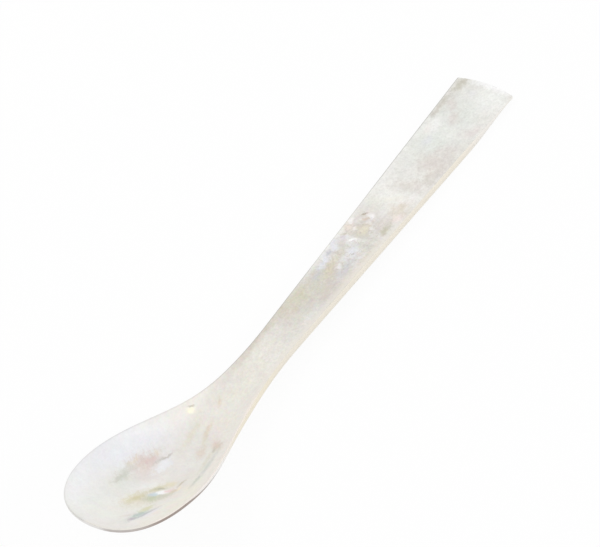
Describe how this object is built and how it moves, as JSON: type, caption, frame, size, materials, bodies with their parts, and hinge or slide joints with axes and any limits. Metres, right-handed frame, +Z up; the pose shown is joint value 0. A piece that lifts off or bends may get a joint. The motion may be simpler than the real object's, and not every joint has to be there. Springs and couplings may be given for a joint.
{
  "type": "egg spoon",
  "caption": "Egg spoon cut whole from pale iridescent shell, with a shallow oval bowl, a narrow neck and a flat handle that widens to a square-cut end.",
  "frame": {"origin": "on the surface that the spoon lies on, under the middle of its overall length and on its mirror plane", "axes": "+X from the tip of the bowl to the end of the handle, +Z up out of the bowl, +Y completes a right-handed set"},
  "size_m": [0.1274, 0.024, 0.0147],
  "materials": {
    "nacre": "gloss"
  },
  "bodies": {
    "root": {"shell_spoon": "nacre"}
  },
  "joints": []
}
